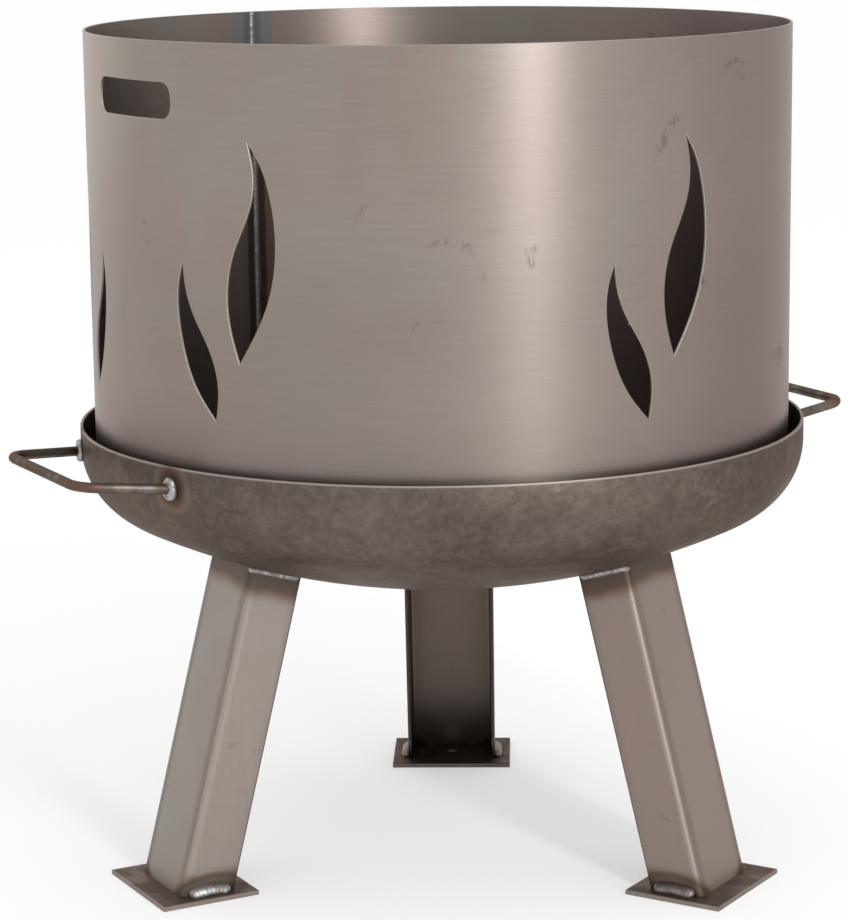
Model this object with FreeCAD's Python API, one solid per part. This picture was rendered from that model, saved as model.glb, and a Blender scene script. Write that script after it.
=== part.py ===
import FreeCAD, Part
import math
import os

# Steel fire bowl on three splayed channel legs, with a loose rolled-sheet surround
# standing in the bowl. Millimetres, +Z up, origin on the floor under the bowl's axis.
# Turns are degrees about +Z measured from -Y (the front) towards +X.

V = FreeCAD.Vector

# ---------------------------------------------------------------- driving dimensions
rim_height = 369.5          # bowl rim above the floor

bowl_d = 600.0              # bowl outside diameter
bowl_wall = 2.5             # bowl plate
bowl_flange = 16.5          # straight flange under the rim
bowl_knuckle_r = 60.0       # inside knuckle radius
bowl_crown_r = 600.0        # inside crown radius

ring_rim_gap = 10.0         # radial gap between surround and bowl wall at the rim
ring_sheet = 2.0            # surround sheet
ring_height = 372.0         # surround height
ring_seat_gap = 0.3         # running gap where the surround's lower edge sits in the bowl
ring_lift = 100.0           # travel that lifts the surround clear of the bowl

slot_turns = (-54.0, 126.0)     # hand slots
slot_length = 110.0             # along the sheet
slot_height = 28.0
slot_corner_r = 11.0
slot_below_top = 45.0           # slot centre below the surround's top edge

flame_small_h = 119.5           # flame cut-outs, tip to foot
flame_tall_h = 166.5
flame_small_top = 206.0         # tips above the surround's lower edge
flame_tall_top = 299.0
flame_small_off = 12.8          # tips either side of a hand slot, degrees
flame_tall_off = 26.0
flame_pair_turn = 35.0          # unmirrored pair between the hand slots
flame_pair_small = -6.6         # its tips, degrees from that turn
flame_pair_tall = 6.7

seam_turn = -143.1              # vertical weld seam of the surround
seam_bead_w = 5.5               # bead width along the sheet
seam_bead_proud = 1.0           # bead height on each side of the sheet

leg_turns = {"front_left": -60.0, "front_right": 60.0, "rear": 180.0}
leg_web = 80.0                  # channel width across the flanges
leg_flange = 45.0               # channel depth
leg_wall = 3.0
leg_bend_r = 6.0                # outside bend radius
leg_splay = 14.7                # lean from upright, degrees
leg_foot_r = 265.0              # web face radius at the top of the foot plate

foot_w = 108.0                  # foot plate, along the web
foot_d = 84.0                   # foot plate, radial
foot_t = 4.0
foot_hole_d = 10.0
foot_shift = 3.0                # plate centre outside the channel's centre

bar_d = 8.0                     # handle bar
handle_turns = {"left": -60.0, "right": 120.0}
handle_grip = 148.0             # grip length between the bends' corners
handle_base = 181.0             # distance between the two bar ends on the bowl
handle_reach = 56.0             # grip centre line outside the bowl
handle_end_drop = 17.5          # bar ends below the rim
handle_grip_drop = 11.7         # grip below the rim
handle_bend_r = 20.0            # centre-line bend radius

bead_r = 4.0                    # fillet bead radius
bead_stand = 1.2                # bead axis off both joined faces
bead_inset = 4.0                # bead ends short of the channel's edges
handle_weld_r = 7.2             # weld lump at a handle end
handle_weld_tall = 5.0          # extra height of that lump

# Flame outlines as shares of the flame's height: x along the sheet, z down from the tip.
# Each side runs from the tip to the foot.
FLAME_SMALL = {
    "left": [(0.0, 0.0), (-0.037, 0.105), (-0.057, 0.285), (-0.017, 0.540),
             (0.092, 0.800), (0.259, 1.0)],
    "right": [(0.0, 0.0), (0.013, 0.130), (0.092, 0.343), (0.205, 0.527),
              (0.281, 0.775), (0.259, 1.0)],
}
FLAME_TALL = {
    "left": [(0.0, 0.0), (0.027, 0.150), (0.002, 0.304), (-0.086, 0.493),
             (-0.129, 0.703), (-0.116, 0.840), (-0.068, 1.0)],
    "right": [(0.0, 0.0), (0.059, 0.090), (0.103, 0.211), (0.133, 0.451),
              (0.086, 0.720), (-0.068, 1.0)],
}

# ---------------------------------------------------------------- derived values
bowl_R = bowl_d / 2.0
bowl_floor = rim_height                      # rim plane height
knuckle_out_r = bowl_knuckle_r + bowl_wall
crown_out_r = bowl_crown_r + bowl_wall
knuckle_c = bowl_R - knuckle_out_r           # knuckle centre radius
crown_c = -bowl_flange + math.sqrt((crown_out_r - knuckle_out_r) ** 2 - knuckle_c ** 2)
ring_R = bowl_R - bowl_wall - ring_rim_gap   # surround outside radius
handle_R = bowl_R + handle_reach
leg_tan = math.tan(math.radians(leg_splay))
leg_cos = math.cos(math.radians(leg_splay))
leg_sin = math.sin(math.radians(leg_splay))
leg_centre_r = leg_foot_r - leg_flange / leg_cos / 2.0
foot_r = leg_centre_r + foot_shift           # foot plate centre, and its hole


def radial(turn):
    a = math.radians(turn)
    return V(math.sin(a), -math.cos(a), 0)


def tangent(turn):
    a = math.radians(turn)
    return V(math.cos(a), math.sin(a), 0)


def at(turn, r, t, z):
    """Point at radius r, sideways t and height z in the vertical plane of a turn."""
    return radial(turn) * r + tangent(turn) * t + V(0, 0, z)


def bowl_z(r, inset):
    """Height of the bowl surface at radius r, inset from its outside (rim plane = 0)."""
    rk = knuckle_out_r - inset
    rc = crown_out_r - inset
    touch = knuckle_c * crown_out_r / (crown_out_r - knuckle_out_r)
    touch = knuckle_c + (touch - knuckle_c) * rk / knuckle_out_r
    if r > touch:
        return -bowl_flange - math.sqrt(max(rk ** 2 - (r - knuckle_c) ** 2, 0.0))
    return crown_c - math.sqrt(rc ** 2 - r ** 2)


ring_bottom = rim_height + bowl_z(ring_R, bowl_wall + ring_seat_gap)
ring_top = ring_bottom + ring_height


# ---------------------------------------------------------------- bowl
def bowl_edges(inset):
    """Half profile of one bowl surface, from the rim to the axis."""
    r_wall = bowl_R - inset
    rk = knuckle_out_r - inset
    rc = crown_out_r - inset
    z0 = rim_height
    lean = math.atan2(crown_c + bowl_flange, knuckle_c)
    k = V(knuckle_c, 0, z0 - bowl_flange)
    c = V(0, 0, z0 + crown_c)

    def on_knuckle(a):
        return k + V(rk * math.cos(a), 0, -rk * math.sin(a))

    def on_crown(a):
        return c + V(rc * math.cos(a), 0, -rc * math.sin(a))

    rim = V(r_wall, 0, z0)
    top = V(r_wall, 0, z0 - bowl_flange)
    meet = on_knuckle(lean)
    low = V(0, 0, z0 + crown_c - rc)
    mid_k = on_knuckle(lean / 2.0)
    mid_c = on_crown((lean + math.pi / 2.0) / 2.0)
    return [
        Part.LineSegment(rim, top).toShape(),
        Part.Arc(top, mid_k, meet).toShape(),
        Part.Arc(meet, mid_c, low).toShape(),
    ], rim, low


def bowl_block():
    """Everything inside the bowl's outside surface."""
    edges, rim, low = bowl_edges(0.0)
    hub = V(0, 0, rim_height)
    edges.append(Part.LineSegment(low, hub).toShape())
    edges.append(Part.LineSegment(hub, rim).toShape())
    face = Part.Face(Part.Wire(Part.__sortEdges__(edges)))
    return face.revolve(V(0, 0, 0), V(0, 0, 1), 360)


def make_bowl(wall):
    outer, rim_o, low_o = bowl_edges(0.0)
    inner, rim_i, low_i = bowl_edges(wall)
    edges = outer + inner
    edges.append(Part.LineSegment(rim_i, rim_o).toShape())
    edges.append(Part.LineSegment(low_o, low_i).toShape())
    face = Part.Face(Part.Wire(Part.__sortEdges__(edges)))
    return face.revolve(V(0, 0, 0), V(0, 0, 1), 360)


# ---------------------------------------------------------------- surround
def on_sheet(turn, s, z, r):
    """Point in the plane square to a turn, for arc length s along the sheet."""
    return at(turn, r, ring_R * math.sin(s / ring_R), z)


def cut_through(turn, edges):
    face = Part.Face(Part.Wire(Part.__sortEdges__(edges)))
    return face.extrude(radial(turn) * 60.0)


def flame_cutter(outline, height, turn, tip_z, mirror):
    r0 = ring_R - 40.0
    edges = []
    for side in ("left", "right"):
        pts = []
        for x, z in outline[side]:
            pts.append(on_sheet(turn, mirror * x * height, tip_z - z * height, r0))
        curve = Part.BSplineCurve()
        curve.interpolate(pts)
        edges.append(curve.toShape())
    return cut_through(turn, edges)


def slot_cutter(turn):
    r0 = ring_R - 40.0
    h = slot_height / 2.0
    w = slot_length / 2.0
    c = slot_corner_r
    zc = ring_top - slot_below_top
    k = c * (1.0 - math.sqrt(0.5))

    def p(s, z):
        return on_sheet(turn, s, zc + z, r0)

    edges = []
    for sx, sz in ((1, 1), (1, -1), (-1, -1), (-1, 1)):
        a = p(sx * (w - c), sz * h)
        m = p(sx * (w - k), sz * (h - k))
        b = p(sx * w, sz * (h - c))
        edges.append(Part.Arc(a, m, b).toShape())
    for sz in (1, -1):
        edges.append(Part.LineSegment(p(-w + c, sz * h), p(w - c, sz * h)).toShape())
    for sx in (1, -1):
        edges.append(Part.LineSegment(p(sx * w, -h + c), p(sx * w, h - c)).toShape())
    return cut_through(turn, edges)


def make_seam_weld():
    """Butt weld: an oval bead through the sheet, its outer crown ending over the seat."""
    mid = ring_R - ring_sheet / 2.0
    half_t = ring_sheet / 2.0 + seam_bead_proud
    half_w = seam_bead_w / 2.0
    centre = at(seam_turn, mid, 0, ring_bottom)
    major, minor = half_w, half_t
    x_dir, y_dir = tangent(seam_turn), radial(seam_turn)
    if minor > major:
        major, minor = minor, major
        x_dir, y_dir = y_dir, x_dir
    oval = Part.Ellipse(centre + x_dir * major, centre + y_dir * minor, centre)
    face = Part.Face(Part.Wire([oval.toShape()]))
    bead = face.extrude(V(0, 0, ring_height))
    return bead.cut(make_bowl(bowl_wall + ring_seat_gap))


def make_surround(seam):
    shell = Part.makeCylinder(ring_R, ring_height, V(0, 0, ring_bottom))
    bore = Part.makeCylinder(ring_R - ring_sheet, ring_height + 20.0,
                             V(0, 0, ring_bottom - 10.0))
    shell = shell.cut(bore)
    small_z = ring_bottom + flame_small_top
    tall_z = ring_bottom + flame_tall_top
    cutters = [seam]
    for turn in slot_turns:
        cutters.append(slot_cutter(turn))
        for m in (1, -1):
            cutters.append(flame_cutter(FLAME_SMALL, flame_small_h,
                                        turn + m * flame_small_off, small_z, m))
            cutters.append(flame_cutter(FLAME_TALL, flame_tall_h,
                                        turn + m * flame_tall_off, tall_z, m))
    cutters.append(flame_cutter(FLAME_SMALL, flame_small_h,
                                flame_pair_turn + flame_pair_small, small_z, 1))
    cutters.append(flame_cutter(FLAME_TALL, flame_tall_h,
                                flame_pair_turn + flame_pair_tall, tall_z, 1))
    for tool in cutters:
        shell = shell.cut(tool)
    return shell


# ---------------------------------------------------------------- legs and feet
def leg_point(turn, t, n, u):
    """Leg frame: t across the web, n in from the web face, u up along the leg."""
    r = leg_foot_r - n * leg_cos - u * leg_sin
    z = foot_t - n * leg_sin + u * leg_cos
    return at(turn, r, t, z)


def leg_top(t, n, off):
    """How far up the leg a line at (t, n) meets the bowl, stopping off short of it."""
    low, high = 0.0, rim_height * 1.2
    for _ in range(60):
        u = (low + high) / 2.0
        r = leg_foot_r - n * leg_cos - u * leg_sin
        z = foot_t - n * leg_sin + u * leg_cos
        gap = rim_height + bowl_z(min(math.hypot(r, t), bowl_R), 0.0) - z
        if gap > off:
            low = u
        else:
            high = u
    return (low + high) / 2.0


def channel_edges(turn, u):
    w = leg_web / 2.0
    d = leg_flange
    ro = leg_bend_r
    ri = leg_bend_r - leg_wall
    ko = ro * (1.0 - math.sqrt(0.5))
    ki = leg_wall + ri * (1.0 - math.sqrt(0.5))

    def p(t, n):
        return leg_point(turn, t, n, u)

    def line(a, b):
        return Part.LineSegment(p(*a), p(*b)).toShape()

    def arc(a, b, c):
        return Part.Arc(p(*a), p(*b), p(*c)).toShape()

    edges = [line((-w + ro, 0), (w - ro, 0)),
             line((-w + ro, leg_wall), (w - ro, leg_wall))]
    for s in (1, -1):
        edges.append(arc((s * (w - ro), 0), (s * (w - ko), ko), (s * w, ro)))
        edges.append(line((s * w, ro), (s * w, d)))
        edges.append(line((s * w, d), (s * (w - leg_wall), d)))
        edges.append(line((s * (w - leg_wall), d), (s * (w - leg_wall), ro)))
        edges.append(arc((s * (w - leg_wall), ro), (s * (w - ki), ki),
                         (s * (w - ro), leg_wall)))
    return edges


def block_edges(turn, u):
    w = leg_web / 2.0
    d = leg_flange
    ro = leg_bend_r
    ko = ro * (1.0 - math.sqrt(0.5))

    def p(t, n):
        return leg_point(turn, t, n, u)

    edges = [Part.LineSegment(p(-w + ro, 0), p(w - ro, 0)).toShape(),
             Part.LineSegment(p(-w, d), p(w, d)).toShape()]
    for s in (1, -1):
        edges.append(Part.Arc(p(s * (w - ro), 0), p(s * (w - ko), ko), p(s * w, ro)).toShape())
        edges.append(Part.LineSegment(p(s * w, ro), p(s * w, d)).toShape())
    return edges


def leg_prism(turn, edges_of, bowl_solid):
    """Channel (or its filled block) trimmed to the foot plate and to the bowl."""
    start = -leg_flange
    end = leg_top(0.0, leg_flange, 0.0) + leg_flange * leg_tan + bowl_wall * 3.0
    face = Part.Face(Part.Wire(Part.__sortEdges__(edges_of(turn, start))))
    run = leg_point(turn, 0, 0, end) - leg_point(turn, 0, 0, start)
    solid = face.extrude(run)
    size = 4.0 * bowl_d
    floor = Part.makeBox(size, size, size, V(-size / 2.0, -size / 2.0, foot_t - size))
    return solid.cut(floor).cut(bowl_solid)


def foot_plate(turn):
    plate = Part.makeBox(foot_w, foot_d, foot_t,
                         V(-foot_w / 2.0, -foot_r - foot_d / 2.0, 0))
    hole = Part.makeCylinder(foot_hole_d / 2.0, foot_t + 20.0, V(0, -foot_r, -10.0))
    plate = plate.cut(hole)
    plate.rotate(V(0, 0, 0), V(0, 0, 1), turn)
    return plate


def capsule(a, b, r):
    run = b - a
    rod = Part.makeCylinder(r, run.Length, a, run)
    return rod.fuse(Part.makeSphere(r, a)).fuse(Part.makeSphere(r, b)).removeSplitter()


def foot_bead(turn, side, plate, block):
    t = side * (leg_web / 2.0 + bead_stand)
    z = foot_t + bead_stand
    near = leg_foot_r - leg_bend_r / leg_cos - bead_stand * leg_tan
    far = leg_foot_r - (leg_flange - bead_inset) / leg_cos - bead_stand * leg_tan
    rod = capsule(at(turn, near, t, z), at(turn, far, t, z), bead_r)
    return rod.cut(plate).cut(block)


def bowl_bead(turn, side, bowl_solid, block):
    t = side * (leg_web / 2.0 + bead_stand)
    n0 = bead_inset
    n1 = leg_flange - bead_inset
    a = leg_point(turn, t, n0, leg_top(t, n0, bead_stand))
    b = leg_point(turn, t, n1, leg_top(t, n1, bead_stand))
    rod = capsule(a, b, bead_r)
    return rod.cut(bowl_solid).cut(block)


# ---------------------------------------------------------------- handles
def handle_points(turn):
    """Bar centre line: two ends on the bowl and two corners of the grip."""
    drop = handle_end_drop
    if drop > bowl_flange:
        r_skin = knuckle_c + math.sqrt(knuckle_out_r ** 2 - (drop - bowl_flange) ** 2)
    else:
        r_skin = bowl_R
    half = handle_base / 2.0
    r_end = math.sqrt(r_skin ** 2 - half ** 2)
    z_end = rim_height - handle_end_drop
    z_grip = rim_height - handle_grip_drop
    return [at(turn, r_end, half, z_end),
            at(turn, handle_R, handle_grip / 2.0, z_grip),
            at(turn, handle_R, -handle_grip / 2.0, z_grip),
            at(turn, r_end, -half, z_end)]


def bent_bar(pts, bend_r, r):
    """Round bar along straight runs joined by tangent arcs."""
    edges = []
    last = pts[0]
    for i in (1, 2):
        a = (pts[i - 1] - pts[i]).normalize()
        b = (pts[i + 1] - pts[i]).normalize()
        half = a.getAngle(b) / 2.0
        back = bend_r / math.tan(half)
        p0 = pts[i] + a * back
        p1 = pts[i] + b * back
        bis = (a + b).normalize()
        centre = pts[i] + bis * (bend_r / math.sin(half))
        mid = centre - bis * bend_r
        edges.append(Part.LineSegment(last, p0).toShape())
        edges.append(Part.Arc(p0, mid, p1).toShape())
        last = p1
    edges.append(Part.LineSegment(last, pts[3]).toShape())
    path = Part.Wire(edges)
    start = Part.Wire([Part.makeCircle(r, pts[0], pts[1] - pts[0])])
    return path.makePipeShell([start], True, True)


def make_handle(turn, bowl_solid):
    pts = handle_points(turn)
    run_in = bar_d
    pts[0] = pts[0] + (pts[0] - pts[1]).normalize() * run_in
    pts[3] = pts[3] + (pts[3] - pts[2]).normalize() * run_in
    bar = bent_bar(pts, handle_bend_r, bar_d / 2.0)
    return bar.cut(bowl_solid)


def handle_weld(turn, index, bar, bowl_solid):
    end = handle_points(turn)[index]
    up = V(0, 0, handle_weld_tall / 2.0)
    out = V(end.x, end.y, 0).normalize()
    lump = capsule(end + out - up, end + out + up, handle_weld_r)
    return lump.cut(bowl_solid).cut(bar)


# ---------------------------------------------------------------- write the nodes
def biggest(shape):
    """The one solid of a shape, without stray slivers."""
    solids = sorted(shape.Solids, key=lambda s: s.Volume)
    return solids[-1]


def build():
    parts = {}
    inside = bowl_block()
    parts["bowl"] = make_bowl(bowl_wall)
    seam = make_seam_weld()
    parts["surround_seam_weld"] = seam
    parts["surround_shell"] = make_surround(seam)
    for name, turn in leg_turns.items():
        leg = leg_prism(turn, channel_edges, inside)
        block = leg_prism(turn, block_edges, inside)
        plate = foot_plate(turn)
        parts["leg_" + name] = leg
        parts["foot_plate_" + name] = plate
        for tag, side in (("a", -1), ("b", 1)):
            parts["weld_foot_" + name + "_" + tag] = foot_bead(turn, side, plate, block)
            parts["weld_leg_" + name + "_" + tag] = bowl_bead(turn, side, inside, block)
    for name, turn in handle_turns.items():
        bar = make_handle(turn, inside)
        parts["handle_" + name] = bar
        for tag, index in (("a", 0), ("b", 3)):
            parts["weld_handle_" + name + "_" + tag] = handle_weld(turn, index, bar, inside)
    return parts


os.makedirs("parts", exist_ok=True)
for node, shape in build().items():
    count = len(shape.Solids)
    solid = biggest(shape)
    if not solid.isValid():
        raise ValueError(node + " is not valid")
    solid.exportStep("parts/" + node + ".step")
    box = solid.optimalBoundingBox(False)
    print(node, "solids", count, "cm3 %.2f" % (solid.Volume / 1000.0),
          "x %.1f %.1f y %.1f %.1f z %.1f %.1f" % (box.XMin, box.XMax, box.YMin, box.YMax,
                                                  box.ZMin, box.ZMax))
print("surround from %.1f to %.1f" % (ring_bottom, ring_top))
print("foot plate centre radius %.2f" % foot_r)
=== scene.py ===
import bmesh
import bpy
import math
import numpy as np
from mathutils import Matrix, Vector


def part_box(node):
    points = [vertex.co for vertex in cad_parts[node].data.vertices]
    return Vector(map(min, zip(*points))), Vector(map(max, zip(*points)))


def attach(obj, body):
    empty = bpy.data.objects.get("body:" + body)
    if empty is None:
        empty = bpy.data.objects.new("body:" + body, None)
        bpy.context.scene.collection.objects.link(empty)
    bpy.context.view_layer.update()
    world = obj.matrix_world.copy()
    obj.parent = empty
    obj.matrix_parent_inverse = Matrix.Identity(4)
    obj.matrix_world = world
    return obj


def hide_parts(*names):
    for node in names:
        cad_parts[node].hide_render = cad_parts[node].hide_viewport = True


# Steel fire bowl on three splayed channel legs with a loose flame-cut surround.
# Metres, +Z up. Turns are degrees about +Z from -Y (the front) towards +X.

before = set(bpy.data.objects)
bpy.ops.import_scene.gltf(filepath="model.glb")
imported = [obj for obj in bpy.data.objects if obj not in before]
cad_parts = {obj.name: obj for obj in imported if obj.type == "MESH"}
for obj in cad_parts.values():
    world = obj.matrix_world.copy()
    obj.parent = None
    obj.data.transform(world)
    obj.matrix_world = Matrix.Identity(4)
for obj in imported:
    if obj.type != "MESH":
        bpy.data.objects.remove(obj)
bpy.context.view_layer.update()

# ---------------------------------------------------------------- sizes
bowl_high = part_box("bowl")[1]
ring_low, ring_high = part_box("surround_shell")
RIM_Z = bowl_high.z
BOWL_R = bowl_high.x
BOWL_WALL = 0.0025
BOWL_FLANGE = 0.0165
KNUCKLE_R = 0.0625
CROWN_R = 0.6025

RING_R = ring_high.x
RING_SHEET = 0.002
RING_Z0 = ring_low.z
RING_Z1 = ring_high.z
SEAM_TURN = -143.1
SEAM_GAP = 0.0006

SLOT_TURNS = (-54.0, 126.0)
SLOT_LONG = 0.110
SLOT_HIGH = 0.028
SLOT_CORNER = 0.011
SLOT_DROP = 0.045
FLAME_SMALL_H = 0.1195
FLAME_TALL_H = 0.1665
FLAME_SMALL_TIP = 0.206
FLAME_TALL_TIP = 0.299
FLAME_SMALL_OFF = 12.8
FLAME_TALL_OFF = 26.0
MIDDLE_PAIR = 35.0
MIDDLE_SMALL = -6.6
MIDDLE_TALL = 6.7

LEG_TURNS = {"front_left": -60.0, "front_right": 60.0, "rear": 180.0}
LEG_WEB = 0.080
LEG_FLANGE = 0.045
LEG_WALL = 0.003
LEG_BEND = 0.006
LEG_SPLAY = math.radians(14.7)
LEG_FOOT_R = 0.265
PAD_WIDE = 0.108
PAD_DEEP = 0.084
PAD_THICK = 0.004
PAD_HOLE_R = 0.005
PAD_SHIFT = 0.003                # pad's middle outside the channel's middle
PAD_R = LEG_FOOT_R - LEG_FLANGE / math.cos(LEG_SPLAY) / 2.0 + PAD_SHIFT

BAR_R = 0.004
BAR_TURNS = {"left": -60.0, "right": 120.0}
GRIP_LONG = 0.148
GRIP_BASE = 0.181
GRIP_R = BOWL_R + 0.056
BAR_END_Z = RIM_Z - 0.0175
GRIP_Z = RIM_Z - 0.0117
BAR_BEND = 0.020

# Weld beads: half width, half height, pitch of the ripples.
SEAM_BEAD = (0.00275, 0.0019, 0.0024)
TOP_BEAD = (0.0038, 0.0034, 0.0026)
FOOT_BEAD = (0.0060, 0.0038, 0.0036)
BAR_BEAD = (0.0040, 0.0036, 0.0044)
WELD_OFF = 0.0012                # a bead's line outside the faces that it joins
SEAM_BEAD_START = 0.0016         # above the surround's lower edge
TOP_BEAD_START, TOP_BEAD_STOP = 0.0015, 0.003    # short of the web's face and of the lip
TAIL_IN, TAIL_OUT, TAIL_DROP = 0.004, 0.0005, 0.003
FOOT_BEAD_STOP, FOOT_BEAD_OUT, FOOT_BEAD_ARCH = 0.004, 0.0008, 0.0022
BAR_BEAD_OUT, BAR_BEAD_WIDE, BAR_BEAD_TALL = 0.0014, 0.0036, 0.0056
BEAD_STEPS, BAR_BEAD_STEPS = 12, 24

# Eased edges, and how far a piece's curves are split.
SHEET_EASE, PAD_EASE, RIM_EASE, LIP_EASE = 0.0003, 0.0004, 0.0006, 0.0005
ROUND_STEPS, KNUCKLE_STEPS, CROWN_STEPS, RING_BENDS = 256, 18, 26, 288
CORNER_STEPS, FLAME_STEPS, HOLE_STEPS, BAR_SIDES, BEND_STEPS = 8, 6, 40, 28, 14
WEB_SPLIT, FLANGE_SPLIT = 0.0078, 0.0075

CAMERA_YAW, CAMERA_PITCH, CAMERA_ROLL = -0.00606, 0.19542, -0.01199
CAMERA_FAR, CAMERA_OVER_RIM, CAMERA_LENS, CAMERA_TURN = 2.5037, 0.4561, 119.25, 1.549
# Lights: name, turn, distance, height, width, height of the panel, power, height aimed at.
SOFT_BOXES = [("strip_light", 29.7, 3.0, 1.80, 0.30, 2.2, 46.0, 0.6),
              ("back_left_light", -135.0, 3.4, 1.2, 2.2, 2.0, 7.0, 0.45)]

# Flame outlines as shares of the flame's height: x along the sheet, z down from the tip.
FLAME_SMALL = {
    "left": [(0.0, 0.0), (-0.037, 0.105), (-0.057, 0.285), (-0.017, 0.540),
             (0.092, 0.800), (0.259, 1.0)],
    "right": [(0.0, 0.0), (0.013, 0.130), (0.092, 0.343), (0.205, 0.527),
              (0.281, 0.775), (0.259, 1.0)],
}
FLAME_TALL = {
    "left": [(0.0, 0.0), (0.027, 0.150), (0.002, 0.304), (-0.086, 0.493),
             (-0.129, 0.703), (-0.116, 0.840), (-0.068, 1.0)],
    "right": [(0.0, 0.0), (0.059, 0.090), (0.103, 0.211), (0.133, 0.451),
              (0.086, 0.720), (-0.068, 1.0)],
}

CROWN_Z = RIM_Z - BOWL_FLANGE + math.sqrt((CROWN_R - KNUCKLE_R) ** 2
                                          - (BOWL_R - KNUCKLE_R) ** 2)


# ---------------------------------------------------------------- places
UP = Vector((0.0, 0.0, 1.0))


def radial(turn):
    a = math.radians(turn)
    return Vector((math.sin(a), -math.cos(a), 0.0))


def tangent(turn):
    a = math.radians(turn)
    return Vector((math.cos(a), math.sin(a), 0.0))


def at(turn, r, t, z):
    return radial(turn) * r + tangent(turn) * t + UP * z


def bowl_skin(r):
    """Height of the bowl's outside at radius r."""
    knuckle = BOWL_R - KNUCKLE_R
    lean = math.atan2(CROWN_Z - RIM_Z + BOWL_FLANGE, knuckle)
    if r > knuckle + KNUCKLE_R * math.cos(lean):
        drop = max(KNUCKLE_R ** 2 - (r - knuckle) ** 2, 0.0)
        return RIM_Z - BOWL_FLANGE - math.sqrt(drop)
    return CROWN_Z - math.sqrt(CROWN_R ** 2 - r ** 2)


def leg_point(turn, t, n, u):
    """t across the web, n in from the web face, u up along the leg."""
    r = LEG_FOOT_R - n * math.cos(LEG_SPLAY) - u * math.sin(LEG_SPLAY)
    z = PAD_THICK - n * math.sin(LEG_SPLAY) + u * math.cos(LEG_SPLAY)
    return at(turn, r, t, z)


def leg_foot(n):
    return n * math.tan(LEG_SPLAY)


def leg_top(t, n, off=0.0):
    """How far up the leg a line at (t, n) reaches before it is off below the bowl."""
    low, high = 0.0, RIM_Z
    for _ in range(40):
        u = (low + high) / 2.0
        p = leg_point(0.0, t, n, u)
        if bowl_skin(min(math.hypot(p.x, p.y), BOWL_R)) - p.z > off:
            low = u
        else:
            high = u
    return low


# ---------------------------------------------------------------- making pieces
def everything(bm):
    return bm.verts[:] + bm.edges[:] + bm.faces[:]


def extruded(bm, ring):
    """Extrude a ring of edges in place, and give the new ring and its vertices."""
    out = bmesh.ops.extrude_edge_only(bm, edges=ring)["geom"]
    verts = [g for g in out if isinstance(g, bmesh.types.BMVert)]
    inside = set(verts)
    ring = [g for g in out if isinstance(g, bmesh.types.BMEdge)
            and g.verts[0] in inside and g.verts[1] in inside]
    return ring, verts


def finish_piece(bm, name, nodes, body, material, crease=35.0):
    mesh = bpy.data.meshes.new(name)
    bm.to_mesh(mesh)
    bm.free()
    mesh.materials.append(material)
    mesh.polygons.foreach_set("use_smooth", [True] * len(mesh.polygons))
    mesh.set_sharp_from_angle(angle=math.radians(crease))
    piece = bpy.data.objects.new(name, mesh)
    bpy.context.scene.collection.objects.link(piece)
    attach(piece, body)
    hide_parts(*nodes)
    return piece


def smooth_line(points, steps):
    """A natural spline through flat points, with steps between each two."""
    pts = np.array(points, float)
    gap = np.linalg.norm(np.diff(pts, axis=0), axis=1)
    count = len(pts)
    left = np.eye(count)
    right = np.zeros((count, 2))
    for i in range(1, count - 1):
        left[i, i - 1:i + 2] = gap[i - 1], 2.0 * (gap[i - 1] + gap[i]), gap[i]
        right[i] = 6.0 * ((pts[i + 1] - pts[i]) / gap[i] - (pts[i] - pts[i - 1]) / gap[i - 1])
    bend = np.linalg.solve(left, right)
    line = []
    for i in range(count - 1):
        h = gap[i]
        for k in range(steps):
            u = h * k / steps
            w = h - u
            curve = (bend[i] * w ** 3 + bend[i + 1] * u ** 3) / (6.0 * h)
            start = (pts[i] / h - bend[i] * h / 6.0) * w
            end = (pts[i + 1] / h - bend[i + 1] * h / 6.0) * u
            line.append(tuple(curve + start + end))
    line.append(tuple(pts[-1]))
    return line


def cut_sheet(loops, thick, ease):
    """A flat sheet about z = 0 cut to closed outlines, each cut edge eased a little."""
    bm = bmesh.new()
    edges = []
    for loop in loops:
        verts = [bm.verts.new((x, y, thick / 2.0)) for x, y in loop]
        edges += [bm.edges.new(pair) for pair in zip(verts, verts[1:] + verts[:1])]
    bmesh.ops.triangle_fill(bm, use_beauty=True, use_dissolve=False, edges=edges,
                            normal=(0.0, 0.0, 1.0))
    bmesh.ops.inset_region(bm, faces=bm.faces[:], use_boundary=True,
                           use_even_offset=True, thickness=ease, depth=0.0)
    rim = [e for e in bm.edges if e.is_boundary]
    rim_verts = list({v for e in rim for v in e.verts})
    bmesh.ops.translate(bm, vec=(0.0, 0.0, -ease), verts=rim_verts)
    side = bmesh.ops.extrude_edge_only(bm, edges=rim)["geom"]
    side = [v for v in side if isinstance(v, bmesh.types.BMVert)]
    bmesh.ops.translate(bm, vec=(0.0, 0.0, ease - thick / 2.0), verts=side)
    bmesh.ops.mirror(bm, geom=everything(bm), matrix=Matrix.Identity(4),
                     merge_dist=1e-6, axis="Z")
    bmesh.ops.recalc_face_normals(bm, faces=bm.faces[:])
    return bm


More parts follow.
